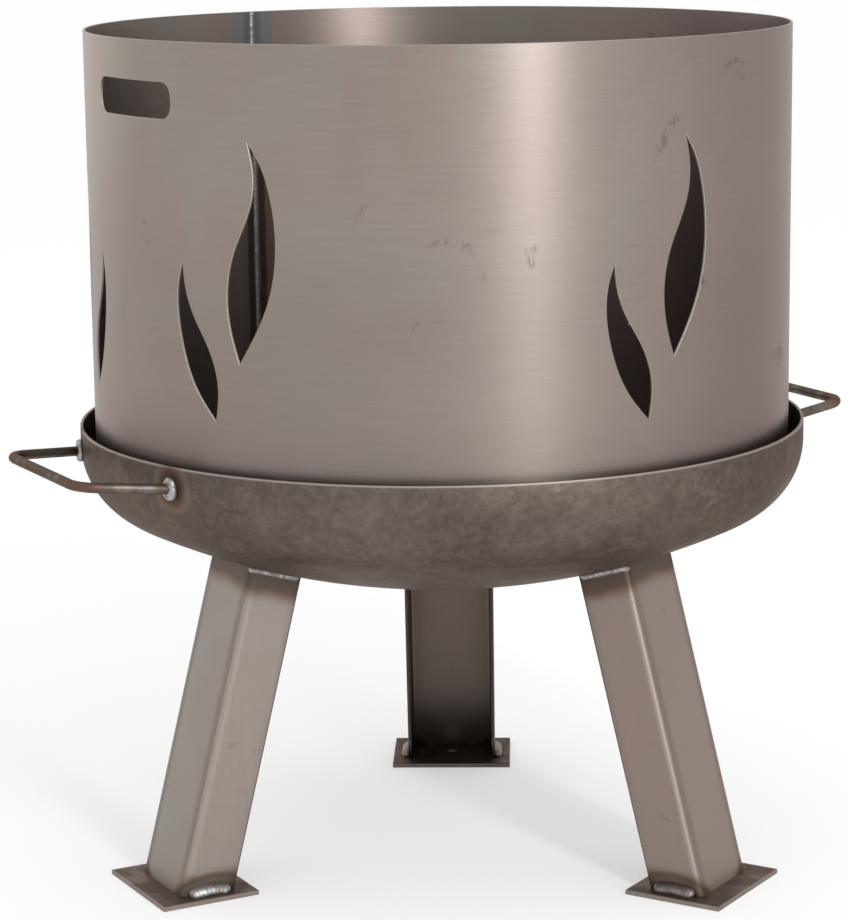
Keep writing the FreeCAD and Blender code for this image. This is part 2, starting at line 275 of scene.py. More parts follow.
# ---------------------------------------------------------------- bowl
def make_bowl(material):
    bm = bmesh.new()
    knuckle = Vector((BOWL_R - KNUCKLE_R, 0.0, RIM_Z - BOWL_FLANGE))
    crown = UP * CROWN_Z
    lean = math.atan2(CROWN_Z - knuckle.z, knuckle.x)
    rims = []
    for inset in (0.0, BOWL_WALL):
        rim = bm.verts.new((BOWL_R - inset, 0.0, RIM_Z))
        rims.append(rim)
        out = bmesh.ops.extrude_vert_indiv(bm, verts=[rim])["verts"]
        bmesh.ops.translate(bm, vec=(0.0, 0.0, -BOWL_FLANGE), verts=out)
        out = bmesh.ops.spin(bm, geom=out, cent=knuckle, axis=(0.0, 1.0, 0.0),
                             angle=lean, steps=KNUCKLE_STEPS)["geom_last"]
        out = [v for v in out if isinstance(v, bmesh.types.BMVert)]
        bmesh.ops.spin(bm, geom=out, cent=crown, axis=(0.0, 1.0, 0.0),
                       angle=math.pi / 2.0 - lean, steps=CROWN_STEPS)
    bm.edges.new(rims)
    bmesh.ops.spin(bm, geom=bm.verts[:] + bm.edges[:], cent=(0.0, 0.0, 0.0),
                   axis=(0.0, 0.0, 1.0), angle=math.tau, steps=ROUND_STEPS, use_merge=True)
    bmesh.ops.remove_doubles(bm, verts=bm.verts[:], dist=2e-6)
    bmesh.ops.recalc_face_normals(bm, faces=bm.faces[:])
    lip = [e for e in bm.edges
           if all(abs(v.co.z - RIM_Z) < 1e-6 for v in e.verts)
           and abs(e.verts[0].co.xy.length - e.verts[1].co.xy.length) < 1e-5]
    bmesh.ops.bevel(bm, geom=lip, offset=RIM_EASE, offset_type="OFFSET", affect="EDGES",
                    segments=3, profile=0.5, material=-1)
    return finish_piece(bm, "fire_bowl", ["bowl"], "stand", material)


# ---------------------------------------------------------------- surround
def flame_loop(outline, height, turn, tip, mirror):
    middle = arc_of(turn)
    sides = {}
    for side in ("left", "right"):
        points = [(middle + mirror * x * height, tip - z * height) for x, z in outline[side]]
        sides[side] = smooth_line(points, FLAME_STEPS)
    return sides["left"] + sides["right"][-2:0:-1]


def slot_loop(turn):
    middle = arc_of(turn)
    level = RING_Z1 - RING_Z0 - SLOT_DROP
    loop = []
    for quarter, (sx, sy) in enumerate(((1, 1), (-1, 1), (-1, -1), (1, -1))):
        cx = middle + sx * (SLOT_LONG / 2.0 - SLOT_CORNER)
        cy = level + sy * (SLOT_HIGH / 2.0 - SLOT_CORNER)
        for k in range(CORNER_STEPS + 1):
            a = math.pi / 2.0 * (quarter + k / CORNER_STEPS)
            loop.append((cx + SLOT_CORNER * math.cos(a), cy + SLOT_CORNER * math.sin(a)))
    return loop


def arc_of(turn):
    """Distance along the flat sheet from its middle, which is opposite the seam."""
    off = (turn - SEAM_TURN) % 360.0 - 180.0
    return math.radians(off) * RING_R


def make_surround(material):
    half = math.pi * RING_R - SEAM_GAP / 2.0
    high = RING_Z1 - RING_Z0
    loops = [[(-half, 0.0), (half, 0.0), (half, high), (-half, high)]]
    for turn in SLOT_TURNS:
        loops.append(slot_loop(turn))
        for m in (1, -1):
            loops.append(flame_loop(FLAME_SMALL, FLAME_SMALL_H, turn + m * FLAME_SMALL_OFF,
                                    FLAME_SMALL_TIP, m))
            loops.append(flame_loop(FLAME_TALL, FLAME_TALL_H, turn + m * FLAME_TALL_OFF,
                                    FLAME_TALL_TIP, m))
    loops.append(flame_loop(FLAME_SMALL, FLAME_SMALL_H, MIDDLE_PAIR + MIDDLE_SMALL,
                            FLAME_SMALL_TIP, 1))
    loops.append(flame_loop(FLAME_TALL, FLAME_TALL_H, MIDDLE_PAIR + MIDDLE_TALL,
                            FLAME_TALL_TIP, 1))
    bm = cut_sheet(loops, RING_SHEET, SHEET_EASE)
    bm.normal_update()
    cut = bm.loops.layers.uv.new("cut")
    for f in bm.faces:
        for loop in f.loops:
            loop[cut].uv = (0.0 if abs(f.normal.z) > 0.9 else 1.0, 0.5)
    for k in range(1, RING_BENDS):
        bmesh.ops.bisect_plane(bm, geom=everything(bm), dist=1e-7,
                               plane_co=(half * (2.0 * k / RING_BENDS - 1.0), 0.0, 0.0),
                               plane_no=(1.0, 0.0, 0.0))
    for v in bm.verts:
        turn = SEAM_TURN + 180.0 + math.degrees(v.co.x / RING_R)
        v.co = at(turn, RING_R - RING_SHEET / 2.0 + v.co.z, 0.0, RING_Z0 + v.co.y)
    return finish_piece(bm, "rolled_surround", ["surround_shell"], "surround",
                        material)


# ---------------------------------------------------------------- welds
def run_length(path):
    return sum((b - a).length for a, b in zip(path, path[1:]))


def along(path, far):
    for a, b in zip(path, path[1:]):
        step = (b - a).length
        if far <= step:
            return a.lerp(b, far / step), (b - a).normalized()
        far -= step
    return path[-1], (path[-1] - path[-2]).normalized()


def bead(path, up, wide, tall, pitch, seed, closed=False, sides=12, lump=0.0):
    """A weld bead laid along a path: overlapping ripples, narrowing at its open ends."""
    length = run_length(path)
    count = max(int(length / pitch * 3.0), 12)
    bm = bmesh.new()
    first = bmesh.ops.create_circle(bm, cap_ends=False, segments=sides, radius=1.0)["verts"]
    ring = list({e for v in first for e in v.link_edges})
    verts = first
    last = Matrix.Identity(4)
    for k in range(count + 1):
        share = k / count
        spot, way = along(path, length * share)
        if closed:
            spot, way = along(path, (length * share) % length)
        across = way.cross(up).normalized()
        lift = across.cross(way).normalized()
        ripple = (k % 3) / 2.0
        wobble = 0.5 * math.sin(k * 0.9 + seed) + 0.5 * math.sin(k * 0.37 + 2.1 * seed)
        size = 0.95 + 0.05 * ripple + 0.025 * wobble
        size += lump * math.sin(3.0 * math.tau * share + seed)
        if not closed:
            near_end = min(share, 1.0 - share) * length / max(wide, tall)
            size *= math.sqrt(max(1.0 - (1.0 - min(near_end, 1.0)) ** 2, 0.02))
        place = Matrix((across, lift, way)).transposed().to_4x4()
        place.translation = spot + across * (0.04 * wide * wobble)
        place = place @ Matrix.Diagonal((wide * size, tall * size, 1.0, 1.0))
        if k:
            ring, verts = extruded(bm, ring)
        bmesh.ops.transform(bm, matrix=place @ last.inverted(), verts=verts)
        last = place
    if closed:
        ends = [e for e in bm.edges if e.is_boundary]
        bmesh.ops.bridge_loops(bm, edges=ends)
    else:
        bmesh.ops.holes_fill(bm, edges=[e for e in bm.edges if e.is_boundary], sides=0)
    bmesh.ops.recalc_face_normals(bm, faces=bm.faces[:])
    return bm


def finish_bead(bm, name, node, body, material):
    return finish_piece(bm, name, [node], body, material, 60.0)


def make_seam_bead(material):
    middle = RING_R - RING_SHEET / 2.0
    low = at(SEAM_TURN, middle, 0.0, RING_Z0 + SEAM_BEAD_START)
    high = at(SEAM_TURN, middle, 0.0, RING_Z1)
    bm = bead([low, high], radial(SEAM_TURN), *SEAM_BEAD, 3.0)
    return finish_bead(bm, "seam_bead", "surround_seam_weld", "surround", material)


def top_bead_path(turn, side):
    """Along a flange under the bowl, starting with a short tail round the fold."""
    t = side * (LEG_WEB / 2.0 + WELD_OFF)
    path = []
    for k in range(BEAD_STEPS + 1):
        n = TOP_BEAD_START + (LEG_FLANGE - TOP_BEAD_START - TOP_BEAD_STOP) * k / BEAD_STEPS
        path.append(leg_point(turn, t, n, leg_top(t, n, WELD_OFF)))
    t -= side * TAIL_IN
    tail = leg_point(turn, t, -TAIL_OUT, leg_top(t, 0.0, TAIL_DROP))
    return [tail, path[0].lerp(tail, 0.4)] + path


def foot_bead_path(turn, side):
    """Along a flange on its pad, higher up the flange in the middle."""
    near = LEG_FOOT_R - LEG_BEND / math.cos(LEG_SPLAY)
    far = LEG_FOOT_R - (LEG_FLANGE - FOOT_BEAD_STOP) / math.cos(LEG_SPLAY)
    t = side * (LEG_WEB / 2.0 + WELD_OFF + FOOT_BEAD_OUT)
    path = []
    for k in range(BEAD_STEPS + 1):
        share = k / BEAD_STEPS
        z = PAD_THICK + WELD_OFF + FOOT_BEAD_ARCH * math.sin(math.pi * share)
        path.append(at(turn, near + (far - near) * share, t, z))
    return path


def make_leg_beads(name, turn, material):
    for tag, side in (("a", -1), ("b", 1)):
        end = name + "_" + tag
        bm = bead(top_bead_path(turn, side), UP, *TOP_BEAD, turn + side)
        finish_bead(bm, "top_bead_" + end, "weld_leg_" + end, "stand", material)
        lean = (tangent(turn) * side + UP).normalized()
        bm = bead(foot_bead_path(turn, side), lean, *FOOT_BEAD, turn + 2 * side)
        finish_bead(bm, "foot_bead_" + end, "weld_foot_" + end, "stand", material)


# ---------------------------------------------------------------- legs and foot pads
def make_leg(name, turn, material):
    bm = bmesh.new()
    half = LEG_WEB / 2.0
    corners = [(-half, LEG_FLANGE), (-half, 0.0), (half, 0.0), (half, LEG_FLANGE)]
    verts = [bm.verts.new((t, n, 0.0)) for t, n in corners]
    edges = [bm.edges.new(pair) for pair in zip(verts, verts[1:])]
    out = bmesh.ops.extrude_edge_only(bm, edges=edges)["geom"]
    out = [v for v in out if isinstance(v, bmesh.types.BMVert)]
    bmesh.ops.translate(bm, vec=(0.0, 0.0, 1.0), verts=out)
    for f in bm.faces:
        away = f.calc_center_median() - Vector((0.0, LEG_FLANGE / 2.0, 0.5))
        if f.normal.dot(away) < 0.0:
            f.normal_flip()
    folds = [e for e in bm.edges if len(e.link_faces) == 2]
    bmesh.ops.bevel(bm, geom=folds, offset=LEG_BEND, offset_type="OFFSET", affect="EDGES",
                    segments=10, profile=0.5, material=-1)
    bm.normal_update()
    bmesh.ops.solidify(bm, geom=bm.faces[:], thickness=LEG_WALL)
    bmesh.ops.recalc_face_normals(bm, faces=bm.faces[:])
    lips = [e for e in bm.edges if len(e.link_faces) == 2
            and all(abs(v.co.y - LEG_FLANGE) < 1e-5 for v in e.verts)
            and abs(e.verts[0].co.z - e.verts[1].co.z) > 0.5]
    bmesh.ops.bevel(bm, geom=lips, offset=LIP_EASE, offset_type="OFFSET", affect="EDGES",
                    segments=2, profile=0.5, material=-1)
    for k in range(-4, 5):
        bmesh.ops.bisect_plane(bm, geom=everything(bm), dist=1e-7,
                               plane_co=(k * WEB_SPLIT, 0.0, 0.0), plane_no=(1.0, 0.0, 0.0))
    for k in range(1, 6):
        bmesh.ops.bisect_plane(bm, geom=everything(bm), dist=1e-7,
                               plane_co=(0.0, k * FLANGE_SPLIT, 0.0), plane_no=(0.0, 1.0, 0.0))
    run = bm.loops.layers.uv.new("run")
    across = bm.loops.layers.uv.new("across")
    length = {v: leg_top(v.co.x, v.co.y) - leg_foot(v.co.y) for v in bm.verts}
    for f in bm.faces:
        for loop in f.loops:
            v = loop.vert
            loop[run].uv = (v.co.z * length[v], (1.0 - v.co.z) * length[v])
            loop[across].uv = (v.co.x, v.co.y)
    for v in bm.verts:
        v.co = leg_point(turn, v.co.x, v.co.y, leg_foot(v.co.y) + v.co.z * length[v])
    return finish_piece(bm, "channel_" + name, ["leg_" + name], "stand",
                        material, 40.0)


def make_pad(name, turn, material):
    half_w, half_d = PAD_WIDE / 2.0, PAD_DEEP / 2.0
    outside = [(-half_w, -half_d), (half_w, -half_d), (half_w, half_d), (-half_w, half_d)]
    hole = []
    for k in range(HOLE_STEPS):
        a = math.tau * k / HOLE_STEPS
        hole.append((PAD_HOLE_R * math.cos(a), PAD_HOLE_R * math.sin(a)))
    bm = cut_sheet([outside, hole], PAD_THICK, PAD_EASE)
    flat = bm.loops.layers.uv.new("flat")
    for f in bm.faces:
        for loop in f.loops:
            loop[flat].uv = loop.vert.co.xy
    place = Matrix.Rotation(math.radians(turn), 4, "Z")
    place = place @ Matrix.Translation((0.0, -PAD_R, PAD_THICK / 2.0))
    bmesh.ops.transform(bm, matrix=place, verts=bm.verts[:])
    return finish_piece(bm, "pad_" + name, ["foot_plate_" + name], "stand",
                        material)


# ---------------------------------------------------------------- handles
def bar_corners(turn):
    """Two ends on the bowl's skin and the two corners of the grip."""
    knuckle = BOWL_R - KNUCKLE_R
    drop = max(RIM_Z - BAR_END_Z - BOWL_FLANGE, 0.0)
    skin = knuckle + math.sqrt(KNUCKLE_R ** 2 - drop ** 2)
    end_r = math.sqrt(skin ** 2 - (GRIP_BASE / 2.0) ** 2)
    return [at(turn, end_r, GRIP_BASE / 2.0, BAR_END_Z),
            at(turn, GRIP_R, GRIP_LONG / 2.0, GRIP_Z),
            at(turn, GRIP_R, -GRIP_LONG / 2.0, GRIP_Z),
            at(turn, end_r, -GRIP_BASE / 2.0, BAR_END_Z)]


def make_handle(name, turn, material):
    ends = bar_corners(turn)
    bm = bmesh.new()
    way = (ends[1] - ends[0]).normalized()
    place = way.to_track_quat("Z", "Y").to_matrix().to_4x4()
    place.translation = ends[0]
    verts = bmesh.ops.create_circle(bm, cap_ends=True, segments=BAR_SIDES, radius=BAR_R,
                                    matrix=place)["verts"]
    ring = list({e for v in verts for e in v.link_edges})
    here = ends[0]
    for corner, after in ((ends[1], ends[2]), (ends[2], ends[3])):
        a = (here - corner).normalized()
        b = (after - corner).normalized()
        half = a.angle(b) / 2.0
        back = BAR_BEND / math.tan(half)
        start = corner + a * back
        centre = corner + (a + b).normalized() * (BAR_BEND / math.sin(half))
        ring = push(bm, ring, start - here)
        here = corner + b * back
        axis = (start - centre).cross(here - centre).normalized()
        out = bmesh.ops.spin(bm, geom=ring, cent=centre, axis=axis,
                             angle=math.pi - 2.0 * half, steps=BEND_STEPS)["geom_last"]
        ring = [g for g in out if isinstance(g, bmesh.types.BMEdge)]
    ring = push(bm, ring, ends[3] - here)
    bmesh.ops.holes_fill(bm, edges=ring, sides=0)
    bmesh.ops.recalc_face_normals(bm, faces=bm.faces[:])
    return finish_piece(bm, "carry_bar_" + name, ["handle_" + name], "stand",
                        material)


def push(bm, ring, move):
    """Carry a ring of edges on in a straight line."""
    ring, verts = extruded(bm, ring)
    bmesh.ops.translate(bm, vec=move, verts=verts)
    return ring


def make_bar_beads(name, turn, material):
    """A lumpy ring of weld round each bar end."""
    ends = bar_corners(turn)
    for tag, end in (("a", ends[0]), ("b", ends[3])):
        out = Vector((end.x, end.y, 0.0)).normalized()
        across = Vector((-out.y, out.x, 0.0))
        path = []
        for k in range(BAR_BEAD_STEPS + 1):
            a = math.tau * k / BAR_BEAD_STEPS
            path.append(end + out * BAR_BEAD_OUT + across * (BAR_BEAD_WIDE * math.cos(a))
                        + UP * (BAR_BEAD_TALL * math.sin(a)))
        bm = bead(path, out, *BAR_BEAD, turn + len(tag), closed=True, lump=0.09)
        finish_bead(bm, "bar_bead_" + name + "_" + tag, "weld_handle_" + name + "_" + tag,
                    "stand", material)


# ---------------------------------------------------------------- node helpers
def feed(tree, node, inputs):
    """Link the inputs that come from other nodes, and set the plain values."""
    for key, value in inputs.items():
        if isinstance(value, bpy.types.NodeSocket):
            tree.links.new(value, node.inputs[key])
        else:
            node.inputs[key].default_value = value


def add(tree, kind, inputs=None, **settings):
    node = tree.nodes.new(kind)
    for key, value in settings.items():
        setattr(node, key, value)
    feed(tree, node, inputs or {})
    return node


def math_of(tree, operation, a, b=0.0, clamp=False):
    return add(tree, "ShaderNodeMath", {0: a, 1: b}, operation=operation,
               use_clamp=clamp).outputs[0]


def plus(tree, a, b):
    return math_of(tree, "ADD", a, b)


def minus(tree, a, b):
    return math_of(tree, "SUBTRACT", a, b)


def times(tree, a, b):
    return math_of(tree, "MULTIPLY", a, b)


def without(tree, mask, share=1.0):
    """One, less a share of a mask."""
    return minus(tree, 1.0, times(tree, mask, share))


def vector_of(tree, operation, a, b):
    return add(tree, "ShaderNodeVectorMath", {0: a, 1: b}, operation=operation)


def moved(tree, vector, offset):
    return vector_of(tree, "ADD", vector, offset).outputs[0]


def split(tree, vector):
    return add(tree, "ShaderNodeSeparateXYZ", {0: vector}).outputs


def own_map(tree, name):
    """The two values of a piece's own UV map."""
    return split(tree, add(tree, "ShaderNodeUVMap", uv_map=name).outputs[0])


def ramp(tree, value, low, high, out_low=0.0, out_high=1.0, smooth=True):
    node = add(tree, "ShaderNodeMapRange",
               {"Value": value, "From Min": low, "From Max": high,
                "To Min": out_low, "To Max": out_high},
               interpolation_type="SMOOTHSTEP" if smooth else "LINEAR")
    return node.outputs["Result"]


def band(tree, value, rise, full, fade, gone):
    """A mask that comes in from rise to full and goes out from fade to gone."""
    return times(tree, ramp(tree, value, rise, full), ramp(tree, value, gone, fade))


def paint(tree, amount, under, over, mode="MIX"):
    node = add(tree, "ShaderNodeMix", {0: amount, 6: under, 7: over}, data_type="RGBA",
               blend_type=mode)
    return node.outputs[2]


def coat(tree, under, mask, share, over):
    """A share of another colour over the first, where the mask is."""
    return paint(tree, times(tree, mask, share), under, over)


def shaded(tree, colour, shade):
    return paint(tree, 1.0, colour, shade, "MULTIPLY")


def noise(tree, vector, scale, detail=3.0, rough=0.55, bend=0.0):
    node = add(tree, "ShaderNodeTexNoise",
               {"Vector": vector, "Scale": scale, "Detail": detail, "Roughness": rough,
                "Distortion": bend})
    return node.outputs["Fac"]


def nearest(tree, distances):
    best = distances[0]
    for other in distances[1:]:
        best = math_of(tree, "MINIMUM", best, other)
    return best


def new_group(name, ins, outs):
    tree = bpy.data.node_groups.new(name, "ShaderNodeTree")
    for label, kind, value in ins:
        socket = tree.interface.new_socket(name=label, in_out="INPUT", socket_type=kind)
        if value is not None:
            socket.default_value = value
    for label, kind in outs:
        tree.interface.new_socket(name=label, in_out="OUTPUT", socket_type=kind)
    enter = tree.nodes.new("NodeGroupInput")
    leave = tree.nodes.new("NodeGroupOutput")
    return tree, enter.outputs, leave.inputs


def use(tree, group, **inputs):
    node = add(tree, "ShaderNodeGroup", node_tree=group)
    feed(tree, node, inputs)
    return node.outputs


FLOAT, COLOUR, VECTOR = "NodeSocketFloat", "NodeSocketColor", "NodeSocketVector"


# ---------------------------------------------------------------- shared effects
def soft_patches():
    """Broad, cloudy differences of tone across a sheet."""
    tree, i, o = new_group("soft_patches",
                           [("Vector", VECTOR, None), ("Scale", FLOAT, 6.0),
                            ("Cover", FLOAT, 0.5)], [("Mask", FLOAT)])
    cloud = noise(tree, i["Vector"], i["Scale"], 2.0, 0.5, 0.6)
    low = minus(tree, 0.62, times(tree, i["Cover"], 0.22))
    tree.links.new(ramp(tree, cloud, low, plus(tree, low, 0.16)), o["Mask"])
    return tree


def rolled_grain():
    """Fine streaks left by the rolls, and fine specks."""
    tree, i, o = new_group("rolled_grain",
                           [("Vector", VECTOR, None), ("Stretch", VECTOR, (40.0, 40.0, 900.0))],
                           [("Streak", FLOAT), ("Speck", FLOAT)])
    pulled = vector_of(tree, "MULTIPLY", i["Vector"], i["Stretch"]).outputs[0]
    tree.links.new(noise(tree, pulled, 1.0, 3.0, 0.6), o["Streak"])
    tree.links.new(noise(tree, i["Vector"], 1400.0, 2.0, 0.6), o["Speck"])
    return tree


def scuffs():
    """Sparse rubbed marks and long fine scratches from handling."""
    tree, i, o = new_group("scuffs",
                           [("Vector", VECTOR, None), ("Scale", FLOAT, 26.0),
                            ("Cover", FLOAT, 0.3)], [("Mask", FLOAT), ("Scratch", FLOAT)])
    where = noise(tree, i["Vector"], i["Scale"], 2.0, 0.5, 1.2)
    low = minus(tree, 0.74, times(tree, i["Cover"], 0.2))
    patch = ramp(tree, where, low, plus(tree, low, 0.08))
    pulled = vector_of(tree, "MULTIPLY", i["Vector"], (1.0, 1.0, 0.45)).outputs[0]
    fine = noise(tree, pulled, times(tree, i["Scale"], 9.0), 4.0, 0.7, 2.0)
    tree.links.new(times(tree, patch, ramp(tree, fine, 0.44, 0.60)), o["Mask"])
    drift = noise(tree, i["Vector"], 4.0, 2.0, 0.5)
    cells = add(tree, "ShaderNodeTexVoronoi",
                {"Vector": moved(tree, i["Vector"], drift), "Scale": 11.0},
                feature="DISTANCE_TO_EDGE")
    line = ramp(tree, cells.outputs["Distance"], 0.012, 0.003)
    part = ramp(tree, noise(tree, i["Vector"], 9.0, 2.0, 0.5), 0.50, 0.60)
    tree.links.new(times(tree, line, part), o["Scratch"])
    return tree


def line_distance():
    """Distance from a straight line between two points."""
    tree, i, o = new_group("line_distance",
                           [("Vector", VECTOR, None), ("From", VECTOR, None),
                            ("To", VECTOR, None)], [("Distance", FLOAT)])
    pa = vector_of(tree, "SUBTRACT", i["Vector"], i["From"]).outputs[0]
    ba = vector_of(tree, "SUBTRACT", i["To"], i["From"]).outputs[0]
    down = vector_of(tree, "DOT_PRODUCT", pa, ba).outputs["Value"]
    full = vector_of(tree, "DOT_PRODUCT", ba, ba).outputs["Value"]
    share = math_of(tree, "DIVIDE", down, math_of(tree, "MAXIMUM", full, 1e-9), clamp=True)
    step = add(tree, "ShaderNodeVectorMath", {0: ba, "Scale": share}, operation="SCALE")
    miss = vector_of(tree, "DISTANCE", pa, step.outputs[0]).outputs["Value"]
    tree.links.new(miss, o["Distance"])
    return tree


def heat_tint():
    """Heat colours beside a weld: dark scale at the bead, then brown, fading to straw."""
    tree, i, o = new_group("heat_tint",
                           [("Distance", FLOAT, 1.0), ("Reach", FLOAT, 0.015),
                            ("Vector", VECTOR, None)],
                           [("Color", COLOUR), ("Mask", FLOAT)])
    ragged = noise(tree, i["Vector"], 45.0, 2.0, 0.5, 0.3)
    ragged = times(tree, minus(tree, ragged, 0.5), 0.22)
    share = plus(tree, math_of(tree, "DIVIDE", i["Distance"], i["Reach"]), ragged)
    bands = add(tree, "ShaderNodeValToRGB", {0: share})
    stops = [(0.0, (0.050, 0.034, 0.026, 1)), (0.30, (0.064, 0.042, 0.031, 1)),
             (0.54, (0.084, 0.052, 0.037, 1)), (0.72, (0.155, 0.096, 0.066, 1)),
             (0.88, (0.228, 0.162, 0.121, 1)), (1.0, (0.285, 0.240, 0.205, 1))]
    points = bands.color_ramp.elements
    points[0].position, points[0].color = stops[0]
    points[1].position, points[1].color = stops[-1]
    for position, colour in stops[1:-1]:
        points.new(position).color = colour
    tree.links.new(bands.outputs["Color"], o["Color"])
    tree.links.new(ramp(tree, share, 1.15, 0.55), o["Mask"])
    return tree


PATCHES = soft_patches()
GRAIN = rolled_grain()
SCUFFS = scuffs()
LINE = line_distance()
HEAT = heat_tint()


# ---------------------------------------------------------------- materials
def new_material(name, metal=1.0, tint=None):
    material = bpy.data.materials.new(name)
    material.use_nodes = True
    tree = material.node_tree
    tree.nodes.clear()
    shader = tree.nodes.new("ShaderNodeBsdfPrincipled")
    shader.inputs["Metallic"].default_value = metal
    if tint:
        shader.inputs["Specular Tint"].default_value = tint
    end = tree.nodes.new("ShaderNodeOutputMaterial")
    tree.links.new(shader.outputs[0], end.inputs["Surface"])
    return material, tree, shader


def object_place(tree):
    return tree.nodes.new("ShaderNodeTexCoord").outputs["Object"]


def dress(tree, shader, colour, rough, height, depth):
    """Give the shader its colour, its roughness and its relief."""
    bump = add(tree, "ShaderNodeBump", {"Height": height, "Distance": depth,
                                        "Strength": 1.0})
    feed(tree, shader, {"Base Color": colour, "Roughness": rough,
                        "Normal": bump.outputs[0]})


def heated(tree, where, colour, distance, reach, share):
    """Heat colours over a skin, by the distance from a weld."""
    hot = use(tree, HEAT, Vector=where, Reach=reach, Distance=distance)
    return coat(tree, colour, hot["Mask"], share, hot["Color"])


def from_points(tree, where, spots):
    """Distance from each of some places; the line group needs a short line."""
    short = UP * 0.002
    return [use(tree, LINE, Vector=where, From=spot, To=spot + short)["Distance"]
            for spot in spots]


def surround_material():
    """Bare cold-rolled sheet, satin, with handling marks and a heat band at the seam."""
    material, tree, shader = new_material("satin_rolled_sheet", tint=(0.80, 0.78, 0.76, 1.0))
    plain, rosy, dusty = ((0.296, 0.259, 0.233, 1), (0.302, 0.226, 0.211, 1),
                          (0.268, 0.242, 0.218, 1))
    blue, brown, soot, bare = ((0.225, 0.240, 0.242, 1), (0.190, 0.140, 0.115, 1),
                               (0.060, 0.045, 0.038, 1), (0.46, 0.43, 0.40, 1))
    where = object_place(tree)
    pink = use(tree, PATCHES, Vector=where, Scale=7.0, Cover=0.9)["Mask"]
    grey = use(tree, PATCHES, Vector=moved(tree, where, (3.1, 1.7, 0.4)), Scale=4.0,
               Cover=0.8)["Mask"]
    grain = use(tree, GRAIN, Vector=where, Stretch=(30.0, 30.0, 520.0))
    marks = use(tree, SCUFFS, Vector=where, Scale=17.0, Cover=0.35)["Mask"]
    parts = split(tree, where)
    # the sheet is warmer towards its right side and its foot; painted shade darkens its right
    # side and lower half, where darker surroundings are reflected
    warm = plus(tree, ramp(tree, parts["X"], 0.10, 0.26, 0.0, 0.85),
                ramp(tree, parts["Z"], 0.56, 0.40, 0.0, 0.35))
    dull = times(tree, ramp(tree, parts["X"], 0.15, 0.26, 1.0, 0.80),
                 ramp(tree, parts["Z"], 0.60, 0.46, 1.0, 0.91))
    pink = math_of(tree, "MAXIMUM", times(tree, pink, 0.7), warm, clamp=True)
    colour = coat(tree, plain, pink, 0.9, rosy)
    colour = coat(tree, colour, grey, 0.35, dusty)
    # painted shade: a little darker towards where it sits in the bowl, where the dark bowl is
    # reflected
    seat_shade = ramp(tree, parts["Z"], RING_Z0 + 0.035, RING_Z0 + 0.120)
    seat_shade = without(tree, minus(tree, 1.0, seat_shade), 0.13)
    shade = ramp(tree, grain["Streak"], 0.25, 0.75, 0.955, 1.045, False)
    shade = times(tree, shade, ramp(tree, grain["Speck"], 0.2, 0.8, 0.97, 1.03))
    shade = times(tree, shade, without(tree, marks, 0.34))
    shade = times(tree, shade, times(tree, seat_shade, dull))
    colour = shaded(tree, colour, shade)
    # beside the seam: blued at the top, browned below, with a sooty streak
    seam = at(SEAM_TURN, RING_R, 0.0, 0.0)
    gap = use(tree, LINE, Vector=where, From=seam, To=seam + UP * 1.2)["Distance"]
    gap = plus(tree, gap, times(tree, noise(tree, where, 28.0, 2.0, 0.5), 0.004))
    upper = ramp(tree, parts["Z"], RING_Z1 - 0.11, RING_Z1 - 0.03)
    blued = times(tree, ramp(tree, gap, 0.0245, 0.0225), upper)
    colour = coat(tree, colour, blued, 0.9, blue)
    browned = times(tree, ramp(tree, gap, 0.022, 0.012), minus(tree, 1.0, upper))
    colour = coat(tree, colour, browned, 0.5, brown)
    streak = band(tree, gap, 0.0045, 0.0060, 0.0105, 0.0125)
    streak = times(tree, streak, minus(tree, 0.85, times(tree, upper, 0.55)))
    colour = paint(tree, streak, colour, soot)
    cut = own_map(tree, "cut")["X"]
    colour = coat(tree, colour, cut, 0.85, bare)
    rough = ramp(tree, grain["Streak"], 0.3, 0.7, 0.375, 0.415, False)
    rough = plus(tree, rough, times(tree, marks, 0.12))
    rough = plus(tree, rough, times(tree, cut, 0.12))
    around = add(tree, "ShaderNodeTangent", direction_type="RADIAL", axis="Z").outputs[0]
    feed(tree, shader, {"Anisotropic": 0.5, "Anisotropic Rotation": 0.25, "Tangent": around})
    height = plus(tree, times(tree, noise(tree, where, 5.0, 1.0, 0.4), 6.0), grain["Streak"])
    dress(tree, shader, colour, rough, height, 0.00004)
    return material


